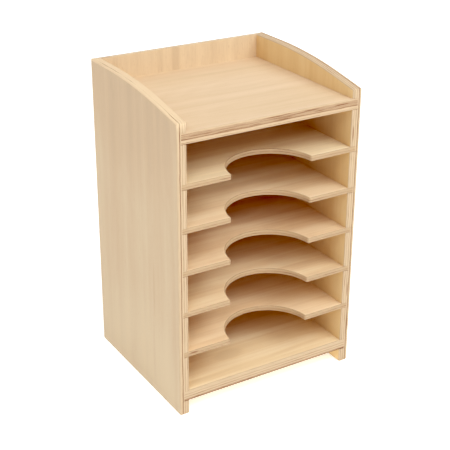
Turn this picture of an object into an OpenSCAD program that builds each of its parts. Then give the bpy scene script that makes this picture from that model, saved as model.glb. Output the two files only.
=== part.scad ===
// Tabletop rack of shallow shelves, glued up from plywood boards.
// Two sides carry a tray on top, a bottom board and a stack of thin shelves in housings.
// The front faces -Y, the sides stand on z = 0 and the case is centred on x = 0, y = 0.

/* [Case] */
// Width over the two sides
case_w = 182; // [150:1:230]
// Depth from the front edges to the back
case_d = 156; // [140:1:200]
// Height of the sides at the back
case_h = 285; // [250:1:320]
// Height of the open space under the bottom board
foot_h = 13.5; // [6:0.5:25]
// Height of the back above the tray on top
gallery_h = 22.3; // [18:0.1:30]

/* [Boards] */
// Thickness of the two sides
side_t = 9; // [8:0.5:12]
// Thickness of the top and bottom boards
board_t = 10; // [8:0.5:12]
// Thickness of the thin shelves
shelf_t = 4.8; // [3:0.1:6]
// Thickness of the back panel
back_t = 3; // [2.5:0.5:5]
// Depth of the housings and the rear rebate cut into each side
housing_d = 5; // [3:0.5:6]

/* [Shelves] */
// Number of thin shelves
shelf_count = 5; // [2:1:6]
// Radius of the finger cut-out in each shelf
cutout_r = 40; // [20:1:55]
// How far in front of the shelf the cut-out has its centre
cutout_offset = 1.6; // [0:0.1:5]

/* [Side outline] */
// Fall of the top edge along its straight front stretch, in degrees
slope_angle = 10.4; // [4:0.1:12]
// Length of the straight front stretch
slope_run = 31; // [10:1:40]
// Length of the curved stretch between it and the level top
curve_run = 91; // [40:1:95]

/* [Hidden] */
side_names = ["left_side", "right_side"];
board_names = ["top_board", "bottom_board", "back_panel"];
shelf_names = [for (i = [1:shelf_count]) str("shelf_", i)];

cut = 1;              // overshoot of every cutting solid, so that no skin is left
arc_facets = 720;     // a long flat arc needs many facets to look smooth

front_y = -case_d / 2;
board_d = case_d - back_t;
housed_w = case_w - 2 * (side_t - housing_d);
floor_z = foot_h + board_t;
tray_z = case_h - gallery_h;
top_z = tray_z - board_t;
clear_h = (top_z - floor_z - shelf_count * shelf_t) / (shelf_count + 1);

// Underside of a shelf. Shelf 1 is the lowest.
function shelf_z(i) = floor_z + i * clear_h + (i - 1) * shelf_t;

// Every housing in a side, as [height of its lower wall, width]
HOUSINGS = concat(
    [[foot_h, board_t], [top_z, board_t]],
    [for (i = [1:shelf_count]) [shelf_z(i), shelf_t]]
);

// Side seen from the left, with its front edge on x = 0 and its height along y.
// The top edge rises in a straight line, then bends over an arc until it is level.
module side_outline() {
    level_start = slope_run + curve_run;
    arc_r = curve_run / sin(slope_angle);
    arc_start_z = case_h - arc_r * (1 - cos(slope_angle));
    front_h = arc_start_z - slope_run * tan(slope_angle);

    polygon([[0, 0], [slope_run, 0], [slope_run, arc_start_z], [0, front_h]]);
    intersection() {
        translate([slope_run, 0]) square([curve_run, case_h]);
        translate([level_start, case_h - arc_r]) circle(r = arc_r, $fn = arc_facets);
    }
    translate([level_start, 0]) square([case_d - level_start, case_h]);
}

// Side with its outer face on x = 0 and its housings open towards +x
module side_panel() {
    difference() {
        rotate([90, 0, 90]) linear_extrude(side_t) side_outline();
        for (h = HOUSINGS)
            translate([side_t - housing_d, -cut, h[0]])
                cube([housing_d + cut, case_d + 2 * cut, h[1]]);
        translate([side_t - housing_d, board_d, foot_h])
            cube([housing_d + cut, back_t + cut, case_h]);
    }
}

module left_side() {
    color("burlywood") translate([-case_w / 2, front_y, 0]) side_panel();
}

module right_side() {
    color("burlywood") mirror([1, 0, 0]) translate([-case_w / 2, front_y, 0]) side_panel();
}

// Plain board in its housings, with its underside at height z
module housed_board(z, thickness) {
    translate([-housed_w / 2, front_y, z]) cube([housed_w, board_d, thickness]);
}

module top_board() {
    color("navajowhite") housed_board(top_z, board_t);
}

module bottom_board() {
    color("navajowhite") housed_board(foot_h, board_t);
}

// Thin panel in the rear rebates, from the bottom board's underside to the top
module back_panel() {
    color("tan")
        translate([-housed_w / 2, front_y + board_d, foot_h])
            cube([housed_w, back_t, case_h - foot_h]);
}

// Thin shelf with a round finger cut-out in its front edge
module shelf(i) {
    color("wheat") difference() {
        housed_board(shelf_z(i), shelf_t);
        translate([0, front_y - cutout_offset, shelf_z(i) - cut])
            cylinder(r = cutout_r, h = shelf_t + 2 * cut, $fn = 180);
    }
}

left_side();
right_side();
top_board();
bottom_board();
back_panel();
for (i = [1:shelf_count])
    shelf(i);
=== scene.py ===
"""Looks of a desktop rack: ten glued plywood boards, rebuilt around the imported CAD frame.

The front faces -Y, the sides stand on the floor at z = 0, and lengths are metres.
A name that ends in _MM holds millimetres, which the wood materials work in.
"""
import math

import bmesh
import bpy
from mathutils import Matrix, Vector


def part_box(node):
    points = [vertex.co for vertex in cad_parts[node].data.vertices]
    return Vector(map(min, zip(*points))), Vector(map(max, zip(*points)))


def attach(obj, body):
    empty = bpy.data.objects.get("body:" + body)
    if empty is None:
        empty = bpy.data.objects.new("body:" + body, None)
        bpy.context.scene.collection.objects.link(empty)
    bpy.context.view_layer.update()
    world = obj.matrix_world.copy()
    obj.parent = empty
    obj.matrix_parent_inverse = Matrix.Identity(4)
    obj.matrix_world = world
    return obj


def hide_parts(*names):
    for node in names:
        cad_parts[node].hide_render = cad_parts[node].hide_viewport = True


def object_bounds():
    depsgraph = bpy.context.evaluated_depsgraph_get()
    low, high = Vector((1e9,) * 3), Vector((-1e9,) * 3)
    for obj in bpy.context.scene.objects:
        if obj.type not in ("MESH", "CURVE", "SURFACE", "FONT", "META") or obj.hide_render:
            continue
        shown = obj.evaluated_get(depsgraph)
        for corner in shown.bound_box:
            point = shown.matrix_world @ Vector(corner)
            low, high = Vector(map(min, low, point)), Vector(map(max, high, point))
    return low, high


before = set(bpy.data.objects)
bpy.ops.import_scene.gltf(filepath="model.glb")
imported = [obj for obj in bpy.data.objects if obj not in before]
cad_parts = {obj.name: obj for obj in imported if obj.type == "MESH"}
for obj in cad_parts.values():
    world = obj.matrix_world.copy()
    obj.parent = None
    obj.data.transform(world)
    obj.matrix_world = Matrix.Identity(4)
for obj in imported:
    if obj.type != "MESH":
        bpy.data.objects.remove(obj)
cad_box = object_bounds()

# ---------------------------------------------------------------- sizes

MM = 1000                   # millimetres in a metre
SHELF_NODES = sorted(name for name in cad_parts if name.startswith("shelf_"))

# The sides' outline: a straight slope at the front, an arc, then a level stretch.
SLOPE_ANGLE = math.radians(10.4)
SLOPE_RUN = 0.031
CURVE_RUN = 0.091
ARC_STEPS = 28

# The finger cut-out in each shelf: a circle with its centre just in front of the shelf.
CUTOUT_RADIUS = 0.040
CUTOUT_OFFSET = 0.0016
HORN_RADIUS = 0.0018        # rounding of the two corners beside the cut-out, in plan
CUTOUT_STEPS = 56
HORN_STEPS = 7

# Sanded arrises
SIDE_ARRIS = 0.0012
BOARD_ARRIS = 0.0009
SHELF_ARRIS = 0.0008
PANEL_ARRIS = 0.0005

HOUSING_GAP = 0.00008       # a housing is this much wider than its board, above and below
TOUCH = 1e-6                # two coordinates closer than this are the same
SQUARE_ON = 0.999           # a face whose normal has this much of the board's axis is a broad face
SHARP_ANGLE = math.radians(40)          # edges that turn more than this shade sharp
OVERSHOOT = 0.002           # how far a cutting box runs past the wood that it cuts

# ---------------------------------------------------------------- camera and light

CAMERA_AZIMUTH = math.radians(-31.5)    # 0 looks along +Y, and less than 0 looks in from the left
CAMERA_ELEVATION = math.radians(23.9)
CAMERA_ROLL = math.radians(0.27)
CAMERA_DISTANCE = 0.988
CAMERA_LENS = 85.7
CAMERA_SHIFT = -0.04
AIM_RIGHT = 0.0012          # the camera's axis passes this far beside the middle of the case
AIM_UP = 0.0073
SOFTBOX_SIZE = 1.2
SOFTBOX_DISTANCE = 2.2
HORIZON_TOP = math.radians(9.5)         # up to here the room is as bright as at the horizon
ZENITH_FROM = math.radians(13)          # and from here on as dim as at the zenith
FLOOR_REACH = 1.8           # half the floor's width. The room's white goes on beyond it
FLOOR_GLOW = 0.45           # makes the lit floor as white as the room
BLACK_LEVELS = (0.0, 0.045, 0.029)      # linear red, green and blue shown as 0: shade turns red


def add_camera(middle):
    """The camera at the reference view, aimed near the middle of the case."""
    level = math.cos(CAMERA_ELEVATION)
    forward = Vector((
        -math.sin(CAMERA_AZIMUTH) * level,
        math.cos(CAMERA_AZIMUTH) * level,
        -math.sin(CAMERA_ELEVATION),
    ))
    level_right = Vector((math.cos(CAMERA_AZIMUTH), math.sin(CAMERA_AZIMUTH), 0))
    turn = Matrix.Rotation(-CAMERA_ROLL, 3, forward)
    right = turn @ level_right
    up = turn @ level_right.cross(forward)
    place = middle + AIM_RIGHT * right + AIM_UP * up - CAMERA_DISTANCE * forward

    data = bpy.data.cameras.new("camera")
    data.lens = CAMERA_LENS
    data.shift_y = CAMERA_SHIFT
    camera = bpy.data.objects.new("camera", data)
    axes = Matrix((right, up, -forward)).transposed().to_4x4()
    camera.matrix_world = Matrix.Translation(place) @ axes
    bpy.context.scene.collection.objects.link(camera)
    bpy.context.scene.camera = camera


def add_softbox(name, target, azimuth, elevation, power):
    """A square area light that shines on target from that direction, angles in degrees."""
    a = math.radians(azimuth)
    e = math.radians(elevation)
    back = Vector((math.sin(a) * math.cos(e), -math.cos(a) * math.cos(e), math.sin(e)))
    data = bpy.data.lights.new(name, "AREA")
    data.shape = "SQUARE"
    data.size = SOFTBOX_SIZE
    data.energy = power
    light = bpy.data.objects.new(name, data)
    light.location = target + back * SOFTBOX_DISTANCE
    light.rotation_euler = back.to_track_quat("Z", "Y").to_euler()
    bpy.context.scene.collection.objects.link(light)


def light_room(horizon, zenith):
    """A plain room: that strength of white light near the horizon, and that from higher up."""
    world = bpy.data.worlds.new("studio")
    bpy.context.scene.world = world
    world.use_nodes = True
    nodes = world.node_tree.nodes
    links = world.node_tree.links
    direction = nodes.new("ShaderNodeTexCoord").outputs["Generated"]
    split = nodes.new("ShaderNodeSeparateXYZ")
    links.new(direction, split.inputs[0])
    fade = nodes.new("ShaderNodeMapRange")
    fade.interpolation_type = "SMOOTHSTEP"
    fade.inputs["From Min"].default_value = math.sin(HORIZON_TOP)
    fade.inputs["From Max"].default_value = math.sin(ZENITH_FROM)
    fade.inputs["To Min"].default_value = horizon
    fade.inputs["To Max"].default_value = zenith
    links.new(split.outputs["Z"], fade.inputs["Value"])
    background = nodes["Background"]
    background.inputs["Color"].default_value = (1, 1, 1, 1)
    links.new(fade.outputs["Result"], background.inputs["Strength"])


def light_studio(target):
    """A room bright near the horizon, with large softboxes all round, and the view's tones."""
    light_room(horizon=1.0, zenith=0.2)
    for name, azimuth, elevation, power in (
        ("key", 15, 50, 19.3),
        ("left_front", -45, 44, 15.4),
        ("right_front", 50, 46, 10.4),
        ("overhead", 0, 88, 7.6),
        ("left_rear", -135, 40, 10.6),
        ("right_rear", 135, 40, 6.2),
    ):
        add_softbox(name, target, azimuth, elevation, power)
    settings = bpy.context.scene.view_settings
    settings.view_transform = "Standard"
    settings.use_curve_mapping = True
    settings.curve_mapping.black_level = BLACK_LEVELS
    settings.curve_mapping.update()


def add_floor():
    """A plain pale floor at z = 0."""
    bm = bmesh.new()
    bmesh.ops.create_grid(bm, x_segments=1, y_segments=1, size=FLOOR_REACH)
    mesh = bpy.data.meshes.new("floor")
    bm.to_mesh(mesh)
    bm.free()
    floor = bpy.data.objects.new("floor", mesh)
    material = bpy.data.materials.new("pale_floor")
    material.use_nodes = True
    shader = material.node_tree.nodes["Principled BSDF"]
    shader.inputs["Base Color"].default_value = (0.93, 0.93, 0.93, 1)
    shader.inputs["Roughness"].default_value = 0.9
    shader.inputs["Specular IOR Level"].default_value = 0.1
    shader.inputs["Emission Color"].default_value = (1, 1, 1, 1)
    shader.inputs["Emission Strength"].default_value = FLOOR_GLOW
    mesh.materials.append(material)
    bpy.context.scene.collection.objects.link(floor)


# ---------------------------------------------------------------- wood

GLOSS = 0.12                # specular level of the thin matt lacquer
CORE_TONE = (150, 118, 86)  # 8-bit sRGB of the darkest plies
PLY_BLUR_MM = 0.16          # half the width over which one ply's tone turns into the next

# Plies of an edge as (thickness in millimetres, darkness), from the outer or lower face.
SIDE_PLIES = [(2.2, 0.0), (0.8, 0.85), (1.8, 0.0), (0.4, 0.5), (2.0, 0.0), (0.4, 0.5), (1.4, 0.0)]
TOP_PLIES = [
    (1.2, 0.0), (0.4, 0.35), (2.0, 0.0), (0.8, 0.8), (2.0, 0.35), (0.5, 0.6), (1.9, 0.33), (1.2, 0.0),
]
# The bottom board's first two entries, 2.4 mm in all, are painted shade along its lower arris, not plies
BOTTOM_PLIES_AND_SHADE = [(1.2, 1.0), (1.2, 0.4), (1.6, 0.0), (0.5, 0.5), (2.0, 0.0), (0.5, 0.45), (3.0, 0.0)]
SHELF_PLIES = [(2.0, 0.05), (0.6, 0.45), (2.2, 0.0)]
PANEL_PLIES = [(0.9, 0.1), (1.2, 0.35), (0.9, 0.1)]


def srgb(red, green, blue, gain=1.0):
    """Linear RGBA from 8-bit sRGB, brightened or darkened by gain."""
    linear = []
    for value in (red, green, blue):
        v = value / 255
        linear.append(gain * (v / 12.92 if v <= 0.04045 else ((v + 0.055) / 1.055) ** 2.4))
    return (*linear, 1)


class Wood:
    """A wood material being made, with a short call for each kind of node."""

    def __init__(self, name):
        self.material = bpy.data.materials.new(name)
        self.material.use_nodes = True
        self.nodes = self.material.node_tree.nodes
        self.shader = self.nodes["Principled BSDF"]
        place = self.nodes.new("ShaderNodeTexCoord").outputs["Object"]
        self.place = self.vector("MULTIPLY", place, (MM, MM, MM))
        split = self.node("ShaderNodeSeparateXYZ", Vector=self.place)
        self.x, self.y, self.z = split.outputs

    def wire(self, value, socket):
        """Links value to socket if it is an output, and sets it as the socket's value if not."""
        if isinstance(value, bpy.types.NodeSocket):
            self.material.node_tree.links.new(value, socket)
        else:
            socket.default_value = value

    def node(self, kind, **inputs):
        """A new node whose named inputs are wired. An underscore stands for a space."""
        made = self.nodes.new(kind)
        for name, value in inputs.items():
            self.wire(value, made.inputs[name.replace("_", " ")])
        return made

    def vector(self, operation, first, second=(0, 0, 0)):
        """The result of that vector operation, which is a value for a length."""
        made = self.nodes.new("ShaderNodeVectorMath")
        made.operation = operation
        self.wire(first, made.inputs[0])
        self.wire(second, made.inputs[1])
        return made.outputs["Value" if operation == "LENGTH" else "Vector"]

    def math(self, operation, first, second=0.0):
        """The result of that operation on two values."""
        made = self.nodes.new("ShaderNodeMath")
        made.operation = operation
        self.wire(first, made.inputs[0])
        self.wire(second, made.inputs[1])
        return made.outputs[0]

    def noise(self, size, seed, detail=1):
        """Noise about 0.5, with lumps of that size in millimetres along x, y and z."""
        scaled = self.vector("DIVIDE", self.place, size)
        moved = self.vector("ADD", scaled, (seed * 7.3, seed * 3.1, seed * 5.7))
        made = self.node("ShaderNodeTexNoise", Vector=moved, Scale=1.0, Detail=detail)
        return made.outputs["Fac"]

    def swing(self, value, amount):
        """How far value is from 0.5, times amount."""
        return self.math("MULTIPLY", self.math("SUBTRACT", value, 0.5), amount)

    def total(self, first, *others):
        """The sum of all the values."""
        for other in others:
            first = self.math("ADD", first, other)
        return first

    def between(self, value, low, high):
        """0 where value is under low, 1 over high, and smooth between."""
        made = self.nodes.new("ShaderNodeMapRange")
        made.interpolation_type = "SMOOTHSTEP"
        self.wire(value, made.inputs["Value"])
        made.inputs["From Min"].default_value = low
        made.inputs["From Max"].default_value = high
        return made.outputs["Result"]

    def ramp(self, factor, stops):
        """Colour ramp through stops, a list of (position, colour)."""
        made = self.node("ShaderNodeValToRGB", Fac=factor)
        elements = made.color_ramp.elements
        while len(elements) < len(stops):
            elements.new(1.0)
        for element, (position, colour) in zip(elements, stops):
            element.position = position
            element.color = colour
        return made.outputs["Color"]

    def spot(self, centre, size):
        """1 about centre, fading to 0 at an ellipsoid with size as its half-axes, in millimetres."""
        offset = self.vector("SUBTRACT", self.place, centre)
        reach = self.vector("LENGTH", self.vector("DIVIDE", offset, size))
        return self.math("SUBTRACT", 1.0, self.between(reach, 0.4, 1.0))

    def finish(self, colour, roughness, height, relief):
        """Wires the shader. relief is the depth in metres of a full step in height."""
        self.wire(colour, self.shader.inputs["Base Color"])
        self.wire(roughness, self.shader.inputs["Roughness"])
        self.shader.inputs["Specular IOR Level"].default_value = GLOSS
        bump = self.node("ShaderNodeBump", Height=height, Distance=relief, Strength=1.0)
        self.wire(bump.outputs["Normal"], self.shader.inputs["Normal"])
        return self.material


def along_grain(grain, across, along):
    """Lump size for noise: along on the axis that grain names, and across on the others."""
    return tuple(along if axis == grain else across for axis in "xyz")


def veneer(name, grain, pale, warm, seed, strength=1.0, marks=()):
    """Sanded face veneer, between a pale and a warm tone. strength is that of its figure.

    marks are (centre, size, darker), with centre and size in millimetres: marks in the wood,
    and painted light and shade. A mark is as much darker as its last value says, or lighter
    where that is under 0.
    """
    wood = Wood(name)
    bands = wood.noise(along_grain(grain, across=15, along=330), seed)
    figure = wood.noise(along_grain(grain, across=42, along=230), seed + 1)
    rings = wood.math("SINE", wood.math("MULTIPLY", figure, 62.0))
    streaks = wood.noise(along_grain(grain, across=3.2, along=150), seed + 2)
    fibres = wood.noise(along_grain(grain, across=0.45, along=14), seed + 3, detail=2)
    lumps = wood.noise(along_grain(grain, across=0.7, along=6), seed + 4)
    pores = wood.between(lumps, 0.67, 0.75)

    level = wood.total(
        0.5,
        wood.swing(bands, 0.9 * strength),
        wood.math("MULTIPLY", rings, 0.035 * strength),
        wood.swing(streaks, 0.45 * strength),
        wood.swing(fibres, 0.55),
        wood.math("MULTIPLY", pores, -0.3),
    )
    for centre, size, darker in marks:
        level = wood.math("SUBTRACT", level, wood.math("MULTIPLY", wood.spot(centre, size), darker))
    colour = wood.ramp(level, [
        (0.0, srgb(*warm, gain=0.93)),
        (0.3, srgb(*warm)),
        (0.75, srgb(*pale)),
        (1.0, srgb(*pale, gain=1.03)),
    ])
    height = wood.total(streaks, wood.swing(fibres, 1.2), wood.math("MULTIPLY", pores, -0.5))
    roughness = wood.total(0.6, wood.swing(streaks, 0.3), wood.swing(fibres, 0.25))
    return wood.finish(colour, roughness, height, relief=0.00006)


def ply_ramp(wood, depth, plies):
    """Darkness of the ply that lies at that depth in millimetres."""
    thickness = sum(ply[0] for ply in plies)
    stops = []
    start = 0.0
    for ply_thickness, darkness in plies:
        end = start + ply_thickness
        for at in (start + PLY_BLUR_MM, end - PLY_BLUR_MM):
            stops.append((at / thickness, (darkness, darkness, darkness, 1)))
        start = end
    return wood.ramp(wood.math("DIVIDE", depth, thickness), stops)


def ply_edge(name, depth_of, stack, plies, tone, seed, marks=()):
    """Sanded plywood edge. depth_of gives the depth below the outer or lower face.

    stack is the axis through the board, on which the plies lie one on another. marks are
    those of veneer.
    """
    wood = Wood(name)
    wander = wood.noise((38, 38, 38), seed)
    ripple = wood.noise((7, 7, 7), seed + 1)
    depth = wood.total(depth_of(wood), wood.swing(wander, 1.0), wood.swing(ripple, 0.4))
    darkness = ply_ramp(wood, depth, plies)
    fibres = wood.noise(along_grain(stack, across=14, along=0.35), seed + 2, detail=2)
    speckle = wood.noise(along_grain(stack, across=0.9, along=0.3), seed + 3)
    slivers = wood.noise(along_grain(stack, across=22, along=0.7), seed + 4, detail=2)
    dark_ply = wood.math("MINIMUM", wood.math("MULTIPLY", darkness, 3.0), 1.0)

    dark_slivers = wood.math("MULTIPLY", dark_ply, wood.between(slivers, 0.57, 0.66))
    level = wood.total(
        wood.math("MULTIPLY", darkness, wood.total(1.0, wood.swing(slivers, 1.0))),
        wood.math("MULTIPLY", dark_slivers, 0.5),
        wood.swing(fibres, 0.45),
        wood.math("MULTIPLY", darkness, wood.swing(speckle, 0.8)),
    )
    for centre, size, darker in marks:
        level = wood.math("ADD", level, wood.math("MULTIPLY", wood.spot(centre, size), darker))
    colour = wood.ramp(wood.total(0.2, wood.math("MULTIPLY", level, 0.8)), [
        (0.0, srgb(*tone, gain=1.22)),
        (0.2, srgb(*tone)),
        (0.84, srgb(*CORE_TONE)),
        (1.0, srgb(*CORE_TONE, gain=0.8)),
    ])
    height = wood.total(wood.swing(fibres, 0.8), wood.math("MULTIPLY", level, -0.7))
    roughness = wood.total(0.62, wood.math("MULTIPLY", darkness, 0.15))
    return wood.finish(colour, roughness, height, relief=0.00012)


# ---------------------------------------------------------------- meshes

def prism(outline, axis, low, high):
    """A closed prism. outline is a list of pairs in the plane across axis 0, 1 or 2."""
    bm = bmesh.new()
    rings = []
    for height in (low, high):
        ring = []
        for pair in outline:
            corner = list(pair)
            corner.insert(axis, height)
            ring.append(bm.verts.new(corner))
        rings.append(ring)
        bm.faces.new(ring)
    for i in range(len(outline)):
        j = (i + 1) % len(outline)
        bm.faces.new((rings[0][i], rings[0][j], rings[1][j], rings[1][i]))
    bmesh.ops.recalc_face_normals(bm, faces=bm.faces)
    return bm


def add_box(bm, low, high):
    """Adds a box with those corners to bm."""
    middle = (Vector(low) + Vector(high)) / 2
    size = Vector(high) - Vector(low)
    made = bmesh.ops.create_cube(bm, size=1.0)
    bmesh.ops.scale(bm, vec=size, verts=made["verts"])
    bmesh.ops.translate(bm, vec=middle, verts=made["verts"])


def object_of(bm, name):
    """Turns bm into an object in the scene."""
    mesh = bpy.data.meshes.new(name)
    bm.to_mesh(mesh)
    bm.free()
    made = bpy.data.objects.new(name, mesh)
    bpy.context.scene.collection.objects.link(made)
    return made


def cut_boxes(bm, boxes):
    """bm less the boxes, each a pair of corners. The boxes don't touch each other."""
    cutter_mesh = bmesh.new()
    for low, high in boxes:
        add_box(cutter_mesh, low, high)
    body = object_of(bm, "cut_body")
    cutter = object_of(cutter_mesh, "cutter")
    boolean = body.modifiers.new("cut", "BOOLEAN")
    boolean.operation = "DIFFERENCE"
    boolean.solver = "EXACT"
    boolean.object = cutter
    graph = bpy.context.evaluated_depsgraph_get()
    mesh = bpy.data.meshes.new_from_object(body.evaluated_get(graph))
    cut = bmesh.new()
    cut.from_mesh(mesh)
    bmesh.ops.remove_doubles(cut, verts=cut.verts, dist=TOUCH)
    for made in (body, cutter):
        bpy.data.objects.remove(made)
    return cut


def same(a, b):
    """Whether two coordinates are the same."""
    return abs(a - b) < TOUCH


def round_edges(bm, picked, radius, steps=4):
    """Rounds the edges for which picked(first corner, second corner) is true."""
    edges = [e for e in bm.edges if picked(e.verts[0].co, e.verts[1].co)]
    bmesh.ops.bevel(
        bm, geom=edges, offset=radius, offset_type="OFFSET", segments=steps,
        profile=0.5, affect="EDGES", clamp_overlap=True,
    )


def finish_board(bm, name, node, face_axis, low_face, high_face, edge):
    """Makes bm the shown board: a veneer on each broad face, ply edges elsewhere.

    face_axis is the axis through the board, and low_face is at its lower end.
    """
    for polygon in bm.faces:
        polygon.smooth = True
        facing = polygon.normal[face_axis]
        polygon.material_index = 0 if facing < -SQUARE_ON else 1 if facing > SQUARE_ON else 2
    board = object_of(bm, name)
    for material in (low_face, high_face, edge):
        board.data.materials.append(material)
    board.data.set_sharp_from_angle(angle=SHARP_ANGLE)
    weighted = board.modifiers.new("even_shading", "WEIGHTED_NORMAL")
    weighted.keep_sharp = True
    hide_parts(node)
    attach(board, "root")


# ---------------------------------------------------------------- boards

def side_outline(low, high):
    """Outline of a side in the YZ plane, and the height of its front top corner."""
    level_from = low.y + SLOPE_RUN + CURVE_RUN
    radius = CURVE_RUN / math.sin(SLOPE_ANGLE)
    arc = []
    for step in range(ARC_STEPS + 1):
        angle = SLOPE_ANGLE * (1 - step / ARC_STEPS)
        arc.append((level_from - radius * math.sin(angle), high.z - radius * (1 - math.cos(angle))))
    front_top = arc[0][1] - SLOPE_RUN * math.tan(SLOPE_ANGLE)
    outline = [(low.y, low.z), (low.y, front_top), *arc, (high.y, high.z), (high.y, low.z)]
    return outline, front_top


def housing_boxes(inner, bottom, low, high):
    """A cutting box for each board housed in the side, from front to rear.

    inner and bottom are the x of the side's inner face and of the housings' bottoms.
    """
    mouth = inner - math.copysign(OVERSHOOT, inner)
    boxes = []
    for node in ["bottom_board", "top_board", *SHELF_NODES]:
        board_low, board_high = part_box(node)
        xs = sorted((mouth, bottom))
        boxes.append((
            (xs[0], low.y - OVERSHOOT, board_low.z - HOUSING_GAP),
            (xs[1], high.y + OVERSHOOT, board_high.z + HOUSING_GAP),
        ))
    return boxes


def side(node, name, outer_face, inner_face, edge):
    """A side board with its housings and its rear rebate."""
    low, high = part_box(node)
    panel_low, panel_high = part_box("back_panel")
    outline, front_top = side_outline(low, high)
    leftward = low.x < 0
    outer, inner = (low.x, high.x) if leftward else (high.x, low.x)
    bottom = panel_low.x if leftward else panel_high.x

    bm = prism(outline, 0, low.x, high.x)
    bm = cut_boxes(bm, housing_boxes(inner, bottom, low, high))
    mouth = inner - math.copysign(OVERSHOOT, inner)
    xs = sorted((mouth, bottom))
    bm = cut_boxes(bm, [(
        (xs[0], panel_low.y, panel_low.z),
        (xs[1], high.y + OVERSHOOT, high.z + OVERSHOOT),
    )])

    def arris(a, b):
        """Whether the edge from a to b is sanded: not one inside a housing or the rebate."""
        on_outer = same(a.x, outer) and same(b.x, outer)
        on_inner = same(a.x, inner) and same(b.x, inner)
        on_front = same(a.y, low.y) and same(b.y, low.y)
        on_top = min(a.z, b.z) > front_top - TOUCH
        under = same(a.z, low.z) and same(b.z, low.z)
        front_corner = on_front and on_top
        foot_rear = on_inner and same(a.y, high.y) and same(b.y, high.y)
        return on_outer or under or front_corner or foot_rear or on_inner and (on_front or on_top)

    round_edges(bm, arris, SIDE_ARRIS)
    low_face, high_face = (outer_face, inner_face) if leftward else (inner_face, outer_face)
    finish_board(bm, name, node, 0, low_face, high_face, edge)


def flat_board(node, name, radius, face, edge):
    """A rectangular board that lies flat, with rounded front arrises."""
    low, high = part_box(node)
    outline = [(low.x, low.y), (high.x, low.y), (high.x, high.y), (low.x, high.y)]
    bm = prism(outline, 2, low.z, high.z)
    round_edges(bm, lambda a, b: same(a.y, low.y) and same(b.y, low.y) and same(a.z, b.z), radius)
    finish_board(bm, name, node, 2, face, face, edge)


def shelf_outline(low, high):
    """Outline of a shelf in plan, with the finger cut-out and its rounded horns."""
    centre_y = low.y - CUTOUT_OFFSET
    horn_y = low.y + HORN_RADIUS
    reach = CUTOUT_RADIUS + HORN_RADIUS
    horn_x = math.sqrt(reach ** 2 - (horn_y - centre_y) ** 2)
    meeting = math.atan2(horn_y - centre_y, horn_x)
    half = []
    for step in range(HORN_STEPS + 1):
        angle = -math.pi / 2 - (math.pi / 2 - meeting) * step / HORN_STEPS
        half.append((horn_x + HORN_RADIUS * math.cos(angle), horn_y + HORN_RADIUS * math.sin(angle)))
    for step in range(1, CUTOUT_STEPS // 2 + 1):
        angle = meeting + (math.pi / 2 - meeting) * step / (CUTOUT_STEPS // 2)
        half.append((CUTOUT_RADIUS * math.cos(angle), centre_y + CUTOUT_RADIUS * math.sin(angle)))
    mirrored = [(-x, y) for x, y in reversed(half[:-1])]
    corners = [(low.x, low.y), (low.x, high.y), (high.x, high.y), (high.x, low.y)]
    return corners + half + mirrored


def shelf(number, node, face, edge):
    """A thin shelf with its finger cut-out."""
    low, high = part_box(node)
    bm = prism(shelf_outline(low, high), 2, low.z, high.z)

    def front_arris(a, b):
        """Whether the edge from a to b runs along the front or round the cut-out."""
        return same(a.z, b.z) and max(a.y, b.y) < low.y + CUTOUT_RADIUS + TOUCH

    round_edges(bm, front_arris, SHELF_ARRIS, steps=3)
    finish_board(bm, f"shelf_board_{number}", node, 2, face, face, edge)


def back(node, name, face, edge):
    """The thin back panel, with a softened top edge."""
    low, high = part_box(node)
    outline = [(low.x, low.z), (high.x, low.z), (high.x, high.z), (low.x, high.z)]
    bm = prism(outline, 1, low.y, high.y)
    round_edges(bm, lambda a, b: same(a.z, high.z) and same(b.z, high.z) and same(a.y, b.y), PANEL_ARRIS)
    finish_board(bm, name, node, 1, face, face, edge)


# ---------------------------------------------------------------- the rack

case_low, case_high = cad_box
case_middle = (case_low + case_high) / 2
add_camera(case_middle)
light_studio(case_middle)
add_floor()

OUTER_X_MM = case_high.x * MM
FRONT_Y_MM = case_low.y * MM
TOP_Z_MM = case_high.z * MM
PANEL_Y_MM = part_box("back_panel")[0].y * MM
BASE_TOP_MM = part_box("bottom_board")[1].z * MM
TRAY_UNDER_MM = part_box("top_board")[0].z * MM
SHELF_UNDER_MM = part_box("shelf_1")[0].z * MM


def side_depth(wood):
    """Depth in millimetres below a side's outer face."""
    return wood.math("SUBTRACT", OUTER_X_MM, wood.math("ABSOLUTE", wood.x))


def panel_depth(wood):
    """Depth in millimetres behind the back panel's front face."""
    return wood.math("SUBTRACT", wood.y, PANEL_Y_MM)


def height_over(node):
    """A depth_of for a flat board: the height in millimetres over its underside."""
    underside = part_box(node)[0].z * MM
    return lambda wood: wood.math("SUBTRACT", wood.z, underside)


# Tones are 8-bit sRGB. EDGE_TONE is that of the pale plies in the sides and the bottom board.
EDGE_TONE = (202, 180, 148)
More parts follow.
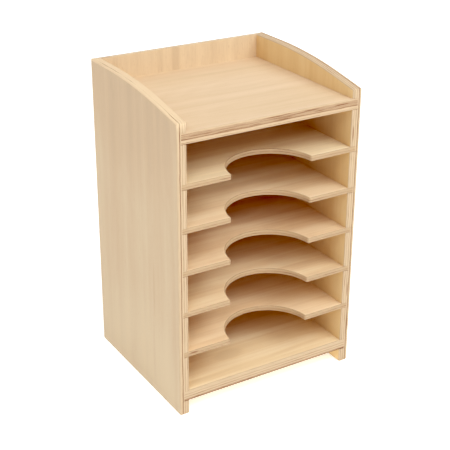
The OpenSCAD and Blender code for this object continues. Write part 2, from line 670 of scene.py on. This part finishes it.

# Marks in the wood, and painted light and shade, each as (centre, size, darker), with centre and size in
# millimetres
# The outer face: painted shade high up, painted light low down, and real streaks
OUTER_MARKS_AND_SHADE = [
    ((-OUTER_X_MM, 0, TOP_Z_MM), (12, 130, 120), 0.35),         # painted shade, darker near the top
    ((-OUTER_X_MM, 0, 0), (12, 130, 110), -0.35),               # painted light from the floor's bounce, paler near the foot
    ((-OUTER_X_MM, 38, 272), (3, 2.2, 6), 0.6),                 # two small streaks near the top
    ((-OUTER_X_MM, 35, 264), (3, 2.2, 6), 0.6),
    ((-OUTER_X_MM, -33, 105), (3, 2.2, 38), 0.3),               # two long ones lower down
    ((-OUTER_X_MM, -31, 45), (3, 2.6, 42), 0.25),
]
# The sides' inner faces: painted shade high up and painted light low down
INNER_PAINTED_SHADE_AND_LIGHT = [
    ((0, 0, 215), (200, 200, 75), 0.45),                        # painted shade, darker high up inside
    ((0, 0, 30), (200, 200, 80), -0.4),                         # painted light from the floor's bounce, paler low down
]
# Real slivers in the right front edge, and a painted highlight on the left arched top edge
SIDE_EDGE_MARKS_AND_HIGHLIGHT = [
    ((OUTER_X_MM - 7, FRONT_Y_MM, 231), (0.9, 4, 9), 0.7),      # slivers in the right front edge
    ((OUTER_X_MM - 4, FRONT_Y_MM, 77), (1.0, 4, 10), 0.5),
    ((OUTER_X_MM - 2.5, FRONT_Y_MM, 40), (0.9, 4, 12), 0.8),
    ((-OUTER_X_MM, 0, TOP_Z_MM + 7), (60, 400, 30), -0.95),     # painted highlight, the left arched top edge made pale
]
TRAY_EDGE_MARKS = [                                             # dark slivers in the front edge
    ((12, FRONT_Y_MM, TRAY_UNDER_MM + 5.9), (13, 4, 0.6), 0.4),
    ((38, FRONT_Y_MM, TRAY_UNDER_MM + 7.7), (11, 4, 0.7), 0.7),
    ((47, FRONT_Y_MM, TRAY_UNDER_MM + 5.7), (7, 4, 0.6), 0.5),
    ((70, FRONT_Y_MM, TRAY_UNDER_MM + 7.1), (10, 4, 0.7), 0.7),
]
BASE_CLOUD_AND_SHADE = [((-22, -45, BASE_TOP_MM), (20, 10, 4), 0.45)]     # a brown cloud at the left, partly painted shadow of the lowest shelf
PANEL_STRIPES_AND_LIGHT = [
    ((-7, PANEL_Y_MM, 275), (5, 3, 60), 0.3),                   # two stripes in the gallery
    ((-23, PANEL_Y_MM, 275), (4, 3, 60), 0.2),
    ((0, PANEL_Y_MM, 130), (200, 10, 150), -0.5),               # painted light, paler behind the shelves to brighten the compartments
]
LOWEST_SHELF_MARKS = [((-77, FRONT_Y_MM, SHELF_UNDER_MM + 3), (6, 4, 1.0), 0.9)]    # a dark streak

# The shelves' veneers differ a little: the pale and the warm tone of each, from the lowest.
SHELF_TONES = [
    ((238, 215, 181), (231, 204, 166)),
    ((235, 216, 182), (228, 204, 167)),
    ((230, 207, 173), (223, 196, 159)),
    ((234, 214, 183), (227, 203, 169)),
    ((238, 224, 191), (231, 213, 178)),
]

side_outer = veneer("side_outer_veneer", "z", (205, 187, 156), (199, 177, 146), 1, marks=OUTER_MARKS_AND_SHADE)
side_inner = veneer("side_inner_veneer", "z", (226, 200, 152), (220, 191, 141), 6, marks=INNER_PAINTED_SHADE_AND_LIGHT)
side_edge = ply_edge("side_ply_edge", side_depth, "x", SIDE_PLIES, EDGE_TONE, 11, SIDE_EDGE_MARKS_AND_HIGHLIGHT)
side("left_side", "left_side_board", side_outer, side_inner, side_edge)
side("right_side", "right_side_board", side_outer, side_inner, side_edge)

tray_face = veneer("tray_veneer", "x", (220, 196, 165), (213, 188, 153), 21, strength=1.3)
tray_edge = ply_edge(
    "tray_ply_edge", height_over("top_board"), "z", TOP_PLIES, (202, 178, 145), 26, TRAY_EDGE_MARKS)
flat_board("top_board", "tray_board", BOARD_ARRIS, tray_face, tray_edge)

base_face = veneer("base_veneer", "x", (242, 223, 188), (234, 211, 171), 31, 2.2, BASE_CLOUD_AND_SHADE)
base_edge = ply_edge("base_ply_edge", height_over("bottom_board"), "z", BOTTOM_PLIES_AND_SHADE, EDGE_TONE, 36)
flat_board("bottom_board", "base_board", BOARD_ARRIS, base_face, base_edge)

panel_face = veneer("panel_veneer", "z", (232, 211, 178), (214, 191, 158), 41, 0.45, PANEL_STRIPES_AND_LIGHT)
panel_edge = ply_edge("panel_ply_edge", panel_depth, "y", PANEL_PLIES, (220, 203, 175), 46)
back("back_panel", "back_board", panel_face, panel_edge)

for number, (node, tones) in enumerate(zip(SHELF_NODES, SHELF_TONES), start=1):
    seed = 50 + 10 * number
    marks = LOWEST_SHELF_MARKS if number == 1 else ()
    shelf_face = veneer(f"shelf_veneer_{number}", "x", *tones, seed, strength=2.2)
    shelf_edge = ply_edge(
        f"shelf_ply_edge_{number}", height_over(node), "z", SHELF_PLIES, (188, 164, 130), seed + 5, marks)
    shelf(number, node, shelf_face, shelf_edge)
